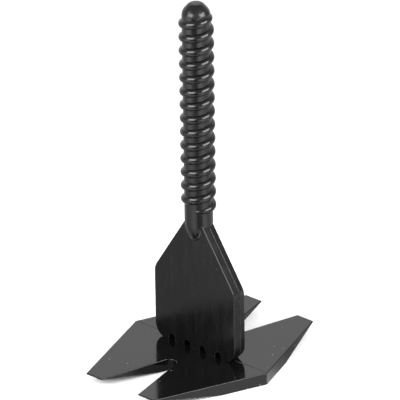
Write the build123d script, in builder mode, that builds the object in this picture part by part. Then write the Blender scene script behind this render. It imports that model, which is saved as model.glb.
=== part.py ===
from build123d import *
from math import atan, degrees, radians, sqrt, tan
import os

# Post anchor spike: a ribbed bar on a doubled upright plate, standing on a forked
# base of two wings.  Origin: middle of the base's underside.  +Z up the bar, +X along
# the upright plate, +Y across it.  Millimetres.

# ---- base wings ----
base_length = 140.0  # over the prong tips, along Y
base_width = 106.0  # over the two side corners, along X
wing_thickness = 7.5
prong_outer = 27.1  # X of a prong tip's outer corner
prong_inner = 14.6  # X of a prong tip's inner corner, at the notch's mouth
prong_tip_thickness = 0.7
bevel_start = 28.0  # Y where the underside starts to rise towards the tips
notch_apex = 9.2  # Y where the notch's two straight sides would meet
notch_root_radius = 4.3
wing_arris = 0.45  # rounding of the top outline
seam_break = 0.25  # small chamfer where the two wings meet on top

# ---- upright cheek plates ----
cheek_width = 64.0
cheek_thickness = 5.0
cheek_shoulder = 45.2  # height of the shoulders above the wings
cheek_slope = 33.75  # degrees from vertical, shoulder to neck
shoulder_radius = 10.0
neck_width = 8.0  # top of the cheeks, inside the bar's fork
foot_width = 52.8  # where the cheeks stand on the wings
foot_corner_rise = 9.4  # height over which the lower corners round in
foot_corner_heel = 3.0  # height at which their curve's two end tangents cross
cheek_arris = 0.5
rear_bevel = 1.0  # how far the rear cheek's sloping edges lean in at its outer face
rear_bevel_land = 0.5  # square stretch that the bevel leaves beside the seam

# ---- weep arches through the foot of the cheeks ----
arch_count = 4
arch_pitch = 12.35
arch_width = 5.0
arch_height = 4.2

# ---- bar ----
bar_diameter = 16.9
bar_top = 222.1  # above the wings
bar_top_cone_width = 4.4  # radial width of the cone round the top
bar_top_cone_height = 5.0
bar_top_rounding = 3.4  # between the cone and the flat on top
bar_shoulder_rounding = 7.0  # between the cone and the bar's side
bar_foot_curve = 15.3  # side radius of the pointed foot
bar_foot_sweep = 50.0  # degrees of that curve, which leaves a small flat inside the fork
foot_lift = 1.8  # from where the cheeks are one bar wide up to the start of that foot
bar_foot_gap = 9.6  # from the start of that foot up to the full rib

# ---- helical rib on the bar ----
rib_pitch = 8.6
rib_section_radius = 2.8
rib_height = 2.0  # how far the rib stands out of the bar
rib_top_gap = 8.6  # from the full rib to the top of the bar
rib_start_angle = -15.0  # degrees about Z, from +X
runout_turns = 0.14  # stretch at each end over which the rib sinks into the bar
runout_sink = 0.1  # how far below the bar's surface it ends

# ---- welds ----
foot_weld_leg = 0.9
foot_weld_start = 10.0  # degrees down the bar's foot from its widest point
seam_weld_leg = 3.0
seam_weld_end_gap = 6.0  # from each end of the weld to the side corner

bar_radius = bar_diameter / 2
half_length = base_length / 2
half_width = base_width / 2
half_cheek = cheek_width / 2
half_foot = foot_width / 2
half_neck = neck_width / 2
ground = wing_thickness  # height of the wings' top faces
shoulder_z = ground + cheek_shoulder
corner_z = ground + foot_corner_rise
heel_z = ground + foot_corner_heel
neck_z = shoulder_z + (half_cheek - half_neck) / tan(radians(cheek_slope))
top_z = ground + bar_top
foot_z = neck_z - (bar_radius - half_neck) / tan(radians(cheek_slope)) + foot_lift
foot_chord = sqrt(bar_radius**2 - cheek_thickness**2)  # half width of the bar at a cheek's face
foot_lean = bar_radius - cheek_thickness
foot_reach = sqrt(foot_lean * (2 * bar_foot_curve - foot_lean))  # from the foot's start to its tip there
rib_start_z = foot_z + bar_foot_gap
rib_rise = top_z - rib_top_gap - rib_start_z
rib_radius = bar_radius + rib_height - rib_section_radius
runout_rise = runout_turns * rib_pitch
runout_cone = -degrees(atan((rib_height + runout_sink) / runout_rise))

os.makedirs("parts", exist_ok=True)

# Weld along the underside of the seam between the wings, ground flush.
with BuildPart() as wing_seam_weld:
    with BuildSketch(Plane.YZ):
        Polygon((-seam_weld_leg, 0), (seam_weld_leg, 0), (0, seam_weld_leg), align=None)
    extrude(amount=half_width - seam_weld_end_gap, both=True)

# Front wing: half of the base, with a V notch between two chisel-ended prongs.
with BuildPart() as front_wing_plate:
    with BuildSketch(Plane.XY) as wing_outline:
        with BuildLine():
            Polyline(
                (-half_width, 0),
                (-prong_outer, -half_length),
                (-prong_inner, -half_length),
                (0, -notch_apex),
                (prong_inner, -half_length),
                (prong_outer, -half_length),
                (half_width, 0),
                close=True,
            )
        make_face()
        fillet(wing_outline.vertices().sort_by_distance((0, -notch_apex))[0], notch_root_radius)
    extrude(amount=wing_thickness)
    with BuildSketch(Plane.YZ):
        Polygon(
            (-bevel_start, 0),
            (-half_length, wing_thickness - prong_tip_thickness),
            (-half_length, 0),
            align=None,
        )
    extrude(amount=half_width, both=True, mode=Mode.SUBTRACT)
    seam_edges = front_wing_plate.faces().sort_by(Axis.Y)[-1].edges().filter_by(Axis.X)
    chamfer(seam_edges.sort_by(Axis.Z)[-1], seam_break)
    add(wing_seam_weld.part, mode=Mode.SUBTRACT)
    top_edges = front_wing_plate.faces().sort_by(Axis.Z)[-1].edges()
    fillet(top_edges.sort_by(Axis.Y)[:-1], wing_arris)

# Rear wing: the same plate turned to face the other way.
with BuildPart() as rear_wing_plate:
    mirror(front_wing_plate.part, about=Plane.XZ)

# Outline that both cheeks share, and that the bar's fork is cut to.
with BuildSketch(Plane.XZ) as cheek_outline:
    with BuildLine():
        Polyline(
            (half_cheek, corner_z),
            (half_cheek, shoulder_z),
            (half_neck, neck_z),
            (-half_neck, neck_z),
            (-half_cheek, shoulder_z),
            (-half_cheek, corner_z),
        )
        Bezier((half_cheek, corner_z), (half_cheek, heel_z), (half_foot, ground))
        Bezier((-half_cheek, corner_z), (-half_cheek, heel_z), (-half_foot, ground))
        Line((half_foot, ground), (-half_foot, ground))
    make_face()
    for side in (-1, 1):
        shoulder = cheek_outline.vertices().sort_by_distance((side * half_cheek, shoulder_z))[0]
        fillet(shoulder, shoulder_radius)
    with Locations((0, ground)):
        with GridLocations(arch_pitch, 0, arch_count, 1):
            Rectangle(
                arch_width,
                arch_height - arch_width / 2,
                align=(Align.CENTER, Align.MIN),
                mode=Mode.SUBTRACT,
            )
    with Locations((0, ground + arch_height - arch_width / 2)):
        with GridLocations(arch_pitch, 0, arch_count, 1):
            Circle(arch_width / 2, mode=Mode.SUBTRACT)


def open_edges(face):
    """Edges round a cheek's face, without its foot, its arches and its neck."""
    outer = face.outer_wire().edges().sort_by(Axis.Z)[:-1]
    return outer.filter_by(lambda edge: abs(edge.center().X) > half_foot or edge.center().Z > shoulder_z)


def sloping_edges(face):
    """The two straight edges that rise from the shoulders to the neck."""
    return open_edges(face).filter_by(GeomType.LINE).sort_by(Axis.Z)[-2:]


# Front cheek, with square edges.
with BuildPart() as front_cheek_plate:
    extrude(cheek_outline.sketch, amount=cheek_thickness)
    fillet(open_edges(front_cheek_plate.faces().sort_by(Axis.Y)[0]), cheek_arris)
    chamfer(open_edges(front_cheek_plate.faces().sort_by(Axis.Y)[-1]), seam_break)

# Rear cheek, with its sloping edges bevelled towards the outer face.
with BuildPart() as rear_cheek_plate:
    extrude(cheek_outline.sketch, amount=-cheek_thickness)
    outer_face = rear_cheek_plate.faces().sort_by(Axis.Y)[-1]
    chamfer(
        sloping_edges(outer_face),
        rear_bevel,
        cheek_thickness - rear_bevel_land,
        reference=outer_face,
    )
    chamfer(open_edges(rear_cheek_plate.faces().sort_by(Axis.Y)[0]), seam_break)

# Bar: coned and rounded top, pointed foot, and a fork that straddles the neck of the cheeks.
with BuildPart() as core_rod:
    with BuildSketch(Plane.XZ) as bar_section:
        with BuildLine():
            foot_arc = CenterArc(
                (bar_radius - bar_foot_curve, foot_z),
                bar_foot_curve,
                start_angle=-bar_foot_sweep,
                arc_size=bar_foot_sweep,
            )
            Polyline(
                (bar_radius, foot_z),
                (bar_radius, top_z - bar_top_cone_height),
                (bar_radius - bar_top_cone_width, top_z),
                (0, top_z),
                (0, (foot_arc @ 0).Y),
                foot_arc @ 0,
            )
        make_face()
        cone_foot = bar_section.vertices().sort_by_distance((bar_radius, top_z - bar_top_cone_height))[0]
        fillet(cone_foot, bar_shoulder_rounding)
        cone_rim = bar_section.vertices().sort_by_distance((bar_radius - bar_top_cone_width, top_z))[0]
        fillet(cone_rim, bar_top_rounding)
    revolve(axis=Axis.Z)
    extrude(cheek_outline.sketch, amount=cheek_thickness, both=True, mode=Mode.SUBTRACT)

# Half-round rib, wound right-handed on the bar and sinking into it at both ends.
coil = Helix(rib_pitch, rib_rise, rib_radius)
runout = Helix(rib_pitch, runout_rise, rib_radius, cone_angle=runout_cone)
lower_runout = Rot(180, 0, 0) * runout
upper_runout = Pos(0, 0, rib_rise) * Rot(0, 0, 360 * rib_rise / rib_pitch) * runout

with BuildPart() as level_rib:
    for stretch in (coil, lower_runout, upper_runout):
        with BuildSketch(Plane(stretch @ 0, z_dir=stretch % 0)):
            Circle(rib_section_radius)
        sweep(path=stretch, is_frenet=True)
    with Locations(*(stretch @ end for stretch in (lower_runout, upper_runout) for end in (0, 1))):
        Sphere(rib_section_radius)
    with Locations((0, 0, -2 * rib_pitch)):
        Cylinder(
            bar_radius,
            rib_rise + 4 * rib_pitch,
            align=(Align.CENTER, Align.CENTER, Align.MIN),
            mode=Mode.SUBTRACT,
        )

with BuildPart() as helical_rib:
    add(Pos(0, 0, rib_start_z) * Rot(0, 0, rib_start_angle) * level_rib.part)

# Weld round the foot of the bar on the front cheek.
with BuildPart() as front_foot_weld:
    with BuildLine(Plane.XZ.offset(cheek_thickness)) as foot_weld_path:
        EllipticalCenterArc(
            (0, foot_z),
            foot_chord,
            foot_reach,
            start_angle=180 + foot_weld_start,
            arc_size=180 - 2 * foot_weld_start,
        )
    weld_start = Plane(foot_weld_path.line @ 0, x_dir=(0, -1, 0), z_dir=foot_weld_path.line % 0)
    with BuildSketch(weld_start):
        with BuildLine():
            Polyline(
                (0, foot_weld_leg),
                (foot_weld_leg * foot_chord / bar_radius, -foot_weld_leg * cheek_thickness / bar_radius),
                (0, -foot_weld_leg),
                close=True,
            )
        make_face()
    sweep()
    add(core_rod.part, mode=Mode.SUBTRACT)

# The same weld on the rear cheek.
with BuildPart() as rear_foot_weld:
    mirror(front_foot_weld.part, about=Plane.XZ)

front_wing_plate.part.label = "front_wing_plate"
rear_wing_plate.part.label = "rear_wing_plate"
wing_seam_weld.part.label = "wing_seam_weld"
front_cheek_plate.part.label = "front_cheek_plate"
rear_cheek_plate.part.label = "rear_cheek_plate"
core_rod.part.label = "core_rod"
helical_rib.part.label = "helical_rib"
front_foot_weld.part.label = "front_foot_weld"
rear_foot_weld.part.label = "rear_foot_weld"

export_step(front_wing_plate.part, "parts/front_wing_plate.step")
export_step(rear_wing_plate.part, "parts/rear_wing_plate.step")
export_step(wing_seam_weld.part, "parts/wing_seam_weld.step")
export_step(front_cheek_plate.part, "parts/front_cheek_plate.step")
export_step(rear_cheek_plate.part, "parts/rear_cheek_plate.step")
export_step(core_rod.part, "parts/core_rod.step")
export_step(helical_rib.part, "parts/helical_rib.step")
export_step(front_foot_weld.part, "parts/front_foot_weld.step")
export_step(rear_foot_weld.part, "parts/rear_foot_weld.step")
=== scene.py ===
import math

import bmesh
import bpy
from mathutils import Matrix, Vector


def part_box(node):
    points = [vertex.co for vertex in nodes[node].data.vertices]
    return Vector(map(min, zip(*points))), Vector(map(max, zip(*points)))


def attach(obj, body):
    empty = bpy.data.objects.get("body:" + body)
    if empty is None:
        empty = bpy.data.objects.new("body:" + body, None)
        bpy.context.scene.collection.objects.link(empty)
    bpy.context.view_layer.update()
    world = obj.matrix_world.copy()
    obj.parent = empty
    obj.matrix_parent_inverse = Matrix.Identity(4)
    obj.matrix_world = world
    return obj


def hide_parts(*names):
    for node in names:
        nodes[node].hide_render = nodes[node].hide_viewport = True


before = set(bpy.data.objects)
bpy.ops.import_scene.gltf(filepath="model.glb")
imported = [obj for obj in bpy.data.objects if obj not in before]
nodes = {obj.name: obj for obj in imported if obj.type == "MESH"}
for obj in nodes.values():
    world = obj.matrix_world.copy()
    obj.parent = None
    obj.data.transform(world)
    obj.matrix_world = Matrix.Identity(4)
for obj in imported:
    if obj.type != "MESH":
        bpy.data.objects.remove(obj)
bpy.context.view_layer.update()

wing_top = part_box("front_wing_plate")[1].z
overall_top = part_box("core_rod")[1].z


# ---------------------------------------------------------------- camera
def azimuth_vector(degrees):
    """Level unit vector for an azimuth counted from -Y towards +X."""
    angle = math.radians(degrees)
    return Vector((math.sin(angle), -math.cos(angle), 0.0))


def add_camera():
    azimuth = 43.04
    elevation = math.radians(25.08)
    roll = math.radians(0.81)
    distance = 3.564
    lens = 540.0
    rise = 0.0871  # from the middle of the wings' tops up the picture to its centre
    aside = 0.0004  # and to the left

    towards = azimuth_vector(azimuth)
    level = azimuth_vector(azimuth + 90.0)
    back = towards * math.cos(elevation) + Vector((0, 0, math.sin(elevation)))
    up = back.cross(level)
    right = level * math.cos(roll) - up * math.sin(roll)
    up = back.cross(right)
    middle = Vector((0, 0, wing_top)) + up * rise - right * aside

    data = bpy.data.cameras.new("camera")
    data.sensor_width = 36.0
    data.lens = lens
    data.clip_end = 20.0
    camera = bpy.data.objects.new("camera", data)
    camera.matrix_world = Matrix((right, up, back)).transposed().to_4x4()
    camera.matrix_world.translation = middle + back * distance
    bpy.context.scene.collection.objects.link(camera)
    bpy.context.scene.camera = camera


# ---------------------------------------------------------------- shader nodes
def new_material(name):
    material = bpy.data.materials.new(name)
    material.use_nodes = True
    tree = material.node_tree
    shader = tree.nodes["Principled BSDF"]
    return material, tree, shader


def noise(tree, size, stretch=(1, 1, 1), detail=3.0):
    """Noise from 0 to 1 whose lumps are about size metres across, made longer along an axis by stretch."""
    place = tree.nodes.new("ShaderNodeTexCoord")
    mapping = tree.nodes.new("ShaderNodeMapping")
    mapping.inputs["Scale"].default_value = [1 / factor for factor in stretch]
    texture = tree.nodes.new("ShaderNodeTexNoise")
    texture.inputs["Scale"].default_value = 1 / size
    texture.inputs["Detail"].default_value = detail
    tree.links.new(place.outputs["Object"], mapping.inputs["Vector"])
    tree.links.new(mapping.outputs["Vector"], texture.inputs["Vector"])
    return texture.outputs["Fac"]


def specks(tree, spacing, radius, share):
    """Scattered round specks: 1 inside one, 0 elsewhere, in a share of the cells of the given spacing."""
    solid = 0.6  # share of the radius inside which a speck is at its full strength
    sure = 0.9  # share of the chosen cells whose specks are at their full strength
    place = tree.nodes.new("ShaderNodeTexCoord")
    cells = tree.nodes.new("ShaderNodeTexVoronoi")
    cells.inputs["Scale"].default_value = 1 / spacing
    tree.links.new(place.outputs["Object"], cells.inputs["Vector"])
    inside = remap(tree, cells.outputs["Distance"], (radius / spacing, solid * radius / spacing), (0, 1))
    split = tree.nodes.new("ShaderNodeSeparateColor")
    tree.links.new(cells.outputs["Color"], split.inputs["Color"])
    chosen = remap(tree, split.outputs["Red"], (share, share * sure), (0, 1))
    return combine(tree, "MULTIPLY", inside, chosen)


def remap(tree, value, span, result):
    """Smooth step of value: result[0] where it is span[0], result[1] where it is span[1]."""
    node = tree.nodes.new("ShaderNodeMapRange")
    node.interpolation_type = "SMOOTHSTEP"
    node.inputs["From Min"].default_value = span[0]
    node.inputs["From Max"].default_value = span[1]
    node.inputs["To Min"].default_value = result[0]
    node.inputs["To Max"].default_value = result[1]
    tree.links.new(value, node.inputs["Value"])
    return node.outputs["Result"]


def combine(tree, operation, first, second):
    node = tree.nodes.new("ShaderNodeMath")
    node.operation = operation
    node.use_clamp = True
    tree.links.new(first, node.inputs[0])
    tree.links.new(second, node.inputs[1])
    return node.outputs["Value"]


def blend_colour(tree, factor, first, second):
    """Mixes from first to second; first may be a colour or a socket."""
    node = tree.nodes.new("ShaderNodeMix")
    node.data_type = "RGBA"
    tree.links.new(factor, node.inputs["Factor"])
    start, end = [socket for socket in node.inputs if socket.type == "RGBA"]
    if isinstance(first, bpy.types.NodeSocket):
        tree.links.new(first, start)
    else:
        start.default_value = (*first, 1)
    end.default_value = (*second, 1)
    return [socket for socket in node.outputs if socket.type == "RGBA"][0]


def bump(tree, height, distance, normal):
    """The given normal, bent by a relief whose height of 1 stands distance metres proud."""
    node = tree.nodes.new("ShaderNodeBump")
    node.inputs["Strength"].default_value = 1.0
    node.inputs["Distance"].default_value = distance
    tree.links.new(height, node.inputs["Height"])
    tree.links.new(normal, node.inputs["Normal"])
    return node.outputs["Normal"]


def rounded_edge(tree, radius):
    """Softened normal at the arrises, and a mask that is 1 on them."""
    flat = 0.99  # cosine between the softened normal and the surface's own, where an arris starts
    full = 0.9  # and where it is at its full strength
    edge = tree.nodes.new("ShaderNodeBevel")
    edge.samples = 8
    edge.inputs["Radius"].default_value = radius
    surface = tree.nodes.new("ShaderNodeNewGeometry")
    facing = tree.nodes.new("ShaderNodeVectorMath")
    facing.operation = "DOT_PRODUCT"
    tree.links.new(edge.outputs["Normal"], facing.inputs[0])
    tree.links.new(surface.outputs["Normal"], facing.inputs[1])
    mask = remap(tree, facing.outputs["Value"], (flat, full), (0, 1))
    return edge.outputs["Normal"], mask


# ---------------------------------------------------------------- enamel
arris_radius = 0.0006

enamel_deep = (0.0012, 0.0012, 0.0013)
enamel_pale = (0.004, 0.004, 0.0043)
rubbed_grey = (0.05, 0.05, 0.053)
dust_grey = (0.17, 0.17, 0.165)

# how wide the lumps of each noise are
patch_size = 0.018
rub_size = 0.0035
gloss_size = 0.004
peel_size = 0.0022
fine_peel_size = 0.0005
streak_size = 0.0012
blotch_size = 0.0028

rub_span = (0.42, 0.62)  # levels of noise between which an arris goes from whole to rubbed
gloss_noise_span = (0.3, 0.7)
gloss_spread = (0.8, 1.25)  # shares of the roughness at the ends of that span
gloss_stretch = (1, 1, 6)
streak_stretch = (1, 1, 14)
fine_peel_share = 0.12  # of the orange peel's relief
dust_spacing = 0.006
dust_radius = 0.0005


def enamel(name, gloss, ior, peel, streaks=0.0, blotches=None, dust=0.0):
    """Black stoved enamel: slight orange peel, patchy gloss, fine runs, specks and rubbed arrises.

    gloss is the roughness, and peel and streaks are reliefs in metres. blotches is (relief, height where they
    begin, height where they are full), and dust is the share of cells that hold a speck.
    """
    material, tree, shader = new_material(name)
    shader.inputs["IOR"].default_value = ior
    normal, arris = rounded_edge(tree, arris_radius)

    colour = blend_colour(tree, noise(tree, patch_size, detail=4.0), enamel_deep, enamel_pale)
    worn = remap(tree, noise(tree, rub_size, detail=5.0), rub_span, (0, 1))
    colour = blend_colour(tree, combine(tree, "MULTIPLY", arris, worn), colour, rubbed_grey)
    if dust:
        colour = blend_colour(tree, specks(tree, dust_spacing, dust_radius, dust), colour, dust_grey)
    tree.links.new(colour, shader.inputs["Base Color"])

    fine_gloss = noise(tree, gloss_size, stretch=gloss_stretch, detail=4.0)
    limits = [gloss * share for share in gloss_spread]
    tree.links.new(remap(tree, fine_gloss, gloss_noise_span, limits), shader.inputs["Roughness"])

    normal = bump(tree, noise(tree, peel_size, detail=2.0), peel, normal)
    normal = bump(tree, noise(tree, fine_peel_size, detail=2.0), peel * fine_peel_share, normal)
    if streaks:
        normal = bump(tree, noise(tree, streak_size, stretch=streak_stretch), streaks, normal)
    if blotches:
        relief, start, full = blotches
        place = tree.nodes.new("ShaderNodeTexCoord")
        axes = tree.nodes.new("ShaderNodeSeparateXYZ")
        tree.links.new(place.outputs["Object"], axes.inputs["Vector"])
        where = remap(tree, axes.outputs["Z"], (start, full), (0, 1))
        lumps = combine(tree, "MULTIPLY", noise(tree, blotch_size, detail=4.0), where)
        normal = bump(tree, lumps, relief, normal)
    tree.links.new(normal, shader.inputs["Normal"])
    return material


# ---------------------------------------------------------------- floor and light
floor_radius = 3.0
floor_depth = 0.0002  # below the object
glow_depth = 0.0001  # of the card that reflections see, between the floor and the object


def plain_floor():
    mesh = bpy.data.meshes.new("floor")
    shape = bmesh.new()
    bmesh.ops.create_circle(shape, cap_ends=True, segments=96, radius=floor_radius)
    shape.to_mesh(mesh)
    shape.free()
    floor = bpy.data.objects.new("floor", mesh)
    floor.location.z = -floor_depth
    bpy.context.scene.collection.objects.link(floor)
    material, tree, shader = new_material("floor_paper")
    shader.inputs["Base Color"].default_value = (0.95, 0.95, 0.95, 1)
    shader.inputs["Roughness"].default_value = 0.9
    shader.inputs["Specular IOR Level"].default_value = 0.0
    mesh.materials.append(material)


def soft_box(name, azimuth, elevation, distance, width, height, radiance):
    """Rectangular light that faces the middle of the object's height."""
    data = bpy.data.lights.new(name, "AREA")
    data.shape = "RECTANGLE"
    data.size = width
    data.size_y = height
    data.energy = radiance * math.pi * width * height
    light = bpy.data.objects.new(name, data)
    aim = Vector((0, 0, overall_top / 2))
    angle = math.radians(elevation)
    direction = azimuth_vector(azimuth) * math.cos(angle) + Vector((0, 0, math.sin(angle)))
    light.location = aim + direction * distance
    light.rotation_euler = direction.to_track_quat("Z", "Y").to_euler()
    bpy.context.scene.collection.objects.link(light)


def add_world(level, behind, behind_azimuth):
    """White surroundings of the given level, which rise to behind in the direction of behind_azimuth."""
    rise = 0.2  # cosine from that direction at which they start to rise
    full = 0.85  # and at which they are at their full level
    world = bpy.data.worlds.new("studio")
    bpy.context.scene.world = world
    world.use_nodes = True
    tree = world.node_tree
    background = tree.nodes["Background"]
    direction = tree.nodes.new("ShaderNodeTexCoord")
    facing = tree.nodes.new("ShaderNodeVectorMath")
    facing.operation = "DOT_PRODUCT"
    facing.inputs[1].default_value = azimuth_vector(behind_azimuth)
    tree.links.new(direction.outputs["Generated"], facing.inputs[0])
    strength = remap(tree, facing.outputs["Value"], (rise, full), (level, behind))
    tree.links.new(strength, background.inputs["Strength"])
    background.inputs["Color"].default_value = (1, 1, 1, 1)


def glow_card(name, mesh, level):
    """Makes a card that is seen only in reflections. Its glow is level, or its mesh's glow attribute."""
    card = bpy.data.objects.new(name, mesh)
    bpy.context.scene.collection.objects.link(card)
    material, tree, shader = new_material(name)
    shader.inputs["Base Color"].default_value = (0, 0, 0, 1)
    shader.inputs["Specular IOR Level"].default_value = 0.0
    shader.inputs["Emission Color"].default_value = (1, 1, 1, 1)
    shader.inputs["Emission Strength"].default_value = level
    if "glow" in mesh.attributes:
        glow = tree.nodes.new("ShaderNodeAttribute")
        glow.attribute_name = "glow"
        tree.links.new(glow.outputs["Fac"], shader.inputs["Emission Strength"])
    mesh.materials.append(material)
    card.visible_camera = False
    card.visible_diffuse = False
    card.visible_shadow = False


def standing_flag(name, azimuth, half_angle, distance, low, high, level):
    """A grey card on edge behind the object, from the height low up to high."""
    mesh = bpy.data.meshes.new(name)
    corners = [
        azimuth_vector(azimuth + side * half_angle) * distance + Vector((0, 0, height))
        for side, height in ((-1, low), (1, low), (1, high), (-1, high))
    ]
    mesh.from_pydata([tuple(corner) for corner in corners], [], [(0, 1, 2, 3)])
    glow_card(name, mesh, level)


def level_at(azimuth, stops):
    """Level at an azimuth from -180 to 180, on straight lines between the (azimuth, level) stops."""
    for (start, low), (end, high) in zip(stops, stops[1:]):
        if start <= azimuth <= end:
            return low + (high - low) * (azimuth - start) / (end - start)


def reflected_floor(rings):
    """The floor as the glossy paint sees it.

    Each ring is (radius, twist, share, stops): its light and dark sides are (azimuth, level) stops, which it
    turns by twist and scales by share.
    """
    azimuth_step = 3
    azimuths = range(-180, 180, azimuth_step)
    count = len(azimuths)
    points = []
    levels = []
    for radius, twist, share, stops in rings:
        for azimuth in azimuths:
            turned = (azimuth + twist + 180) % 360 - 180
            levels.append(share * level_at(turned, stops))
            spoke = azimuth_vector(azimuth) * radius
            points.append((spoke.x, spoke.y, -glow_depth))
    faces = [
        (ring + i, ring + (i + 1) % count, ring + count + (i + 1) % count, ring + count + i)
        for ring in range(0, count * (len(rings) - 1), count)
        for i in range(count)
    ]
    mesh = bpy.data.meshes.new("reflected_floor")
    mesh.from_pydata(points, [], faces)
    glow = mesh.attributes.new("glow", "FLOAT", "POINT")
    glow.data.foreach_set("value", levels)
    glow_card("reflected_floor", mesh, 1.0)


# ---------------------------------------------------------------- pieces made of rings
def skin(name, rings, smooth_sides, creased_sides=()):
    """Mesh over rings of points, closed at both ends. Side i runs from each ring's point i to its next."""
    shape = bmesh.new()
    rings = [[shape.verts.new(point) for point in ring] for ring in rings]
    size = len(rings[0])
    for ring, following in zip(rings, rings[1:]):
        for i in range(size):
            j = (i + 1) % size
            face = shape.faces.new((ring[i], following[i], following[j], ring[j]))
            face.smooth = i in smooth_sides
            if i in creased_sides:
                for edge in face.edges:
                    edge.smooth = False
    shape.faces.new(rings[0])
    shape.faces.new(list(reversed(rings[-1])))
    bmesh.ops.recalc_face_normals(shape, faces=shape.faces[:])
    mesh = bpy.data.meshes.new(name)
    shape.to_mesh(mesh)
    shape.free()
    return mesh


def add_piece(name, mesh, material):
    mesh.materials.append(material)
    piece = bpy.data.objects.new(name, mesh)
    bpy.context.scene.collection.objects.link(piece)
    return piece


# ---------------------------------------------------------------- rib
rib_pitch = 0.0086
rib_section = 0.0028  # radius of its rounded back
rib_fillet = 0.00015  # radius of the hollow of enamel where it meets the bar
rib_bury = 0.0005  # depth of its sides inside the bar
rib_start = wing_top + 0.092  # height at which it has its full section
rib_end = overall_top - 0.0086
rib_start_angle = -15.0  # degrees about Z, from +X
lower_runout = 0.13  # turns that it goes on past each end of that stretch
upper_runout = 0.16
lower_fade = 0.3  # turns over which it thins out
upper_fade = 0.34
tip_section = 0.3  # share of rib_section that is left at its tips
tip_height = 0.00004  # least height
stations_per_turn = 96
hollow_steps = 6
back_steps = 8


def rib_profile(bar_radius, fullness, full_height):
    """Points (along the bar, out from its axis) across the rib, from one root to the other."""
    section = rib_section * (tip_section + (1 - tip_section) * fullness)
    height = max(full_height * fullness, tip_height)
    centre = bar_radius + height - section
    hollow_reach = section + rib_fillet
    hollow_out = bar_radius + rib_fillet
    hollow_side = math.sqrt(hollow_reach**2 - (hollow_out - centre) ** 2)
    lean = math.asin(hollow_side / hollow_reach)
    side = []
    for step in range(hollow_steps + 1):
        angle = lean * step / hollow_steps
        side.append((hollow_side - rib_fillet * math.sin(angle), hollow_out - rib_fillet * math.cos(angle)))
    for step in range(1, back_steps + 1):
        angle = lean * (1 - step / back_steps)
        side.append((section * math.sin(angle), centre + section * math.cos(angle)))
    return [(-along, out) for along, out in side] + [(along, out) for along, out in reversed(side[:-1])]


def levelled(travel, fade):
    """Turns of climb that the rib leaves out where it levels off, for a travel in turns from its tip."""
    return max(fade - travel, 0.0) ** 2 / (2 * fade)


def wind_rib(material):
    """The rib, wound on the bar, which levels off and thins out towards both tips."""
    bar_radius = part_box("core_rod")[1].x
    full_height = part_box("helical_rib")[1].x - bar_radius
    buried = bar_radius - rib_bury
    turns = (rib_end - rib_start) / rib_pitch
    all_turns = lower_runout + turns + upper_runout
    count = int(all_turns * stations_per_turn)
    rings = []
    for station in range(count + 1):
        turn = -lower_runout + all_turns * station / count
        from_lower_tip = turn + lower_runout
        from_upper_tip = turns + upper_runout - turn
        fullness = min(1.0, from_lower_tip / lower_fade, from_upper_tip / upper_fade)
        fullness = math.sin(max(fullness, 0.0) * math.pi / 2)
        angle = math.radians(rib_start_angle) + turn * 2 * math.pi
        height = rib_start + (turn + levelled(from_lower_tip, lower_fade)) * rib_pitch
        height -= levelled(from_upper_tip, upper_fade) * rib_pitch
        points = rib_profile(bar_radius, fullness, full_height)
        points = [(points[0][0], buried)] + points + [(points[-1][0], buried)]
        cosine = math.cos(angle)
        sine = math.sin(angle)
        rings.append([(out * cosine, out * sine, height + along) for along, out in points])
    size = len(rings[0])
    mesh = skin("wound_rib", rings, smooth_sides=range(size), creased_sides=(0, size - 2, size - 1))
    rib = add_piece("wound_rib", mesh, material)
    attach(rib, "root")
    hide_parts("helical_rib")


# ---------------------------------------------------------------- foot welds
weld_leg = 0.0008  # on the cheek
weld_climb = 0.75 * weld_leg  # up the bar
weld_start = 8.0  # degrees down the foot from its widest point
weld_fade = 0.125  # share of the run over which it thins out at each end
weld_in_bar = 0.0006  # depth of its back inside the bar
weld_in_cheek = 0.0002  # and inside the cheek
foot_drop = 0.00486  # from the top of the cheeks down to where the bar's pointed foot starts
foot_curve = 0.0153  # side radius of that foot
weld_steps = 72
weld_face_steps = 6


def foot_contour(angle, depth, bar_radius, foot_height):
    """Point (across, up) at an angle round the bar's foot, cut by a plane at this depth from its axis."""
    lean = bar_radius - depth
    across = math.sqrt(bar_radius**2 - depth**2)
    reach = math.sqrt(lean * (2 * foot_curve - lean))
    return Vector((across * math.cos(angle), foot_height + reach * math.sin(angle)))


def lay_weld(name, cad_name, facing, material):
    """Hollow run of weld between the bar's foot and the cheek that faces -Y (facing -1) or +Y (facing 1)."""
    bar_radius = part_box("core_rod")[1].x
    cheek_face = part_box("rear_cheek_plate")[1].y
    foot_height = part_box("front_cheek_plate")[1].z - foot_drop
    rings = []
    for step in range(weld_steps + 1):
        share = step / weld_steps
        angle = math.radians(180 + weld_start + (180 - 2 * weld_start) * share)
        fullness = min(1.0, share / weld_fade, (1 - share) / weld_fade)
        climb = weld_climb * fullness
        outward = Vector((math.cos(angle), math.sin(angle)))
        root = foot_contour(angle, cheek_face, bar_radius, foot_height)
        upper = foot_contour(angle, cheek_face + climb, bar_radius, foot_height)
        toe = root + outward * weld_leg * fullness
        ring = []
        for i in range(weld_face_steps + 1):
            t = i / weld_face_steps
            point = toe * (1 - t) ** 2 + root * 2 * t * (1 - t) + upper * t**2
            ring.append((point.x, facing * (cheek_face + climb * t**2), point.y))
        inside = root - outward * weld_in_bar
        ring.append((inside.x, facing * (cheek_face + climb), inside.y))
        ring.append((root.x, facing * (cheek_face - weld_in_cheek), root.y))
        rings.append(ring)
    mesh = skin(name, rings, smooth_sides=range(weld_face_steps))
    weld = add_piece(name, mesh, material)
    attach(weld, "root")
    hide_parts(cad_name)


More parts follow.
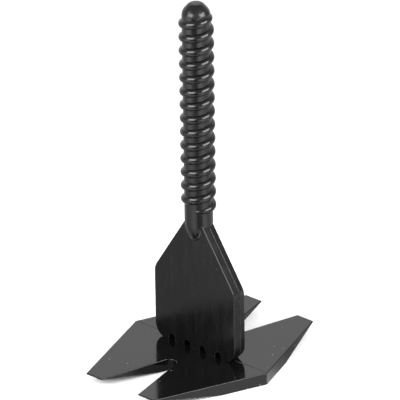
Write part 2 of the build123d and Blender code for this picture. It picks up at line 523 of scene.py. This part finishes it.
# ---------------------------------------------------------------- the scene
# (azimuth, level) of the light and dark sides of the room, near the object and farther out
near_floor = [(-180, 0.65), (-90, 0.7), (-43, 0.47), (0, 1.1), (60, 1.3), (97, 1.3), (115, 0.6)]
near_floor += [(137, 0.3), (180, 0.65)]
far_floor = [(-180, 0.65), (-90, 0.7), (-43, 0.47), (-15, 1.0), (3, 2.05), (22, 1.6), (36, 0.14), (70, 0.14)]
far_floor += [(82, 2.1), (99, 2.2), (114, 1.1), (137, 0.7), (180, 0.9)]
outer_twist = 26  # degrees by which the farthest rings are turned
outer_share = 1.45  # and how much brighter they are

add_camera()
plain_floor()
reflected_floor(
    [
        # the rings out to 0.04 m glow dimmer: painted shade of the floor close round the object, as the
        # paint's reflections see it
        (0.001, 0, 0.25, near_floor),
        (0.04, 0, 0.3, near_floor),
        (0.052, 0, 1.0, near_floor),
        (0.11, 0, 1.0, near_floor),
        (0.16, 0, 1.0, far_floor),
        (0.2, 0, 1.0, far_floor),
        (0.45, outer_twist, outer_share, far_floor),
        (2.0, outer_twist, outer_share, far_floor),
    ]
)
standing_flag("rear_flag", azimuth=162, half_angle=13, distance=1.2, low=0.0, high=0.48, level=0.3)
add_world(level=0.62, behind=1.15, behind_azimuth=223.0)
soft_box("left_box", azimuth=-4, elevation=27, distance=0.8, width=0.62, height=0.42, radiance=10.0)
soft_box("right_box", azimuth=95, elevation=26, distance=0.8, width=0.62, height=0.45, radiance=10.5)
bpy.context.scene.view_settings.view_transform = "Standard"

dome_start = overall_top - 0.011
dome_full = overall_top - 0.005
dome_blotches = (0.00022, dome_start, dome_full)
finishes = {
    "wing_enamel": enamel("wing_enamel", gloss=0.11, ior=1.43, peel=0.00001, dust=0.6),
    "cheek_enamel": enamel("cheek_enamel", gloss=0.24, ior=1.44, peel=0.00001, streaks=0.0000013, dust=0.06),
    "bar_enamel": enamel(
        "bar_enamel", gloss=0.26, ior=1.45, peel=0.000006, streaks=0.000002, blotches=dome_blotches
    ),
    "rib_enamel": enamel("rib_enamel", gloss=0.17, ior=1.46, peel=0.000008),
    "weld_enamel": enamel("weld_enamel", gloss=0.3, ior=1.4, peel=0.00001),
}
finish_of_node = {
    "front_wing_plate": "wing_enamel",
    "rear_wing_plate": "wing_enamel",
    "wing_seam_weld": "weld_enamel",
    "front_cheek_plate": "cheek_enamel",
    "rear_cheek_plate": "cheek_enamel",
    "core_rod": "bar_enamel",
    "helical_rib": "rib_enamel",
    "front_foot_weld": "weld_enamel",
    "rear_foot_weld": "weld_enamel",
}
for name, finish in finish_of_node.items():
    nodes[name].data.materials.clear()
    nodes[name].data.materials.append(finishes[finish])
wind_rib(finishes["rib_enamel"])
lay_weld("front_foot_run", "front_foot_weld", -1, finishes["weld_enamel"])
lay_weld("rear_foot_run", "rear_foot_weld", 1, finishes["weld_enamel"])
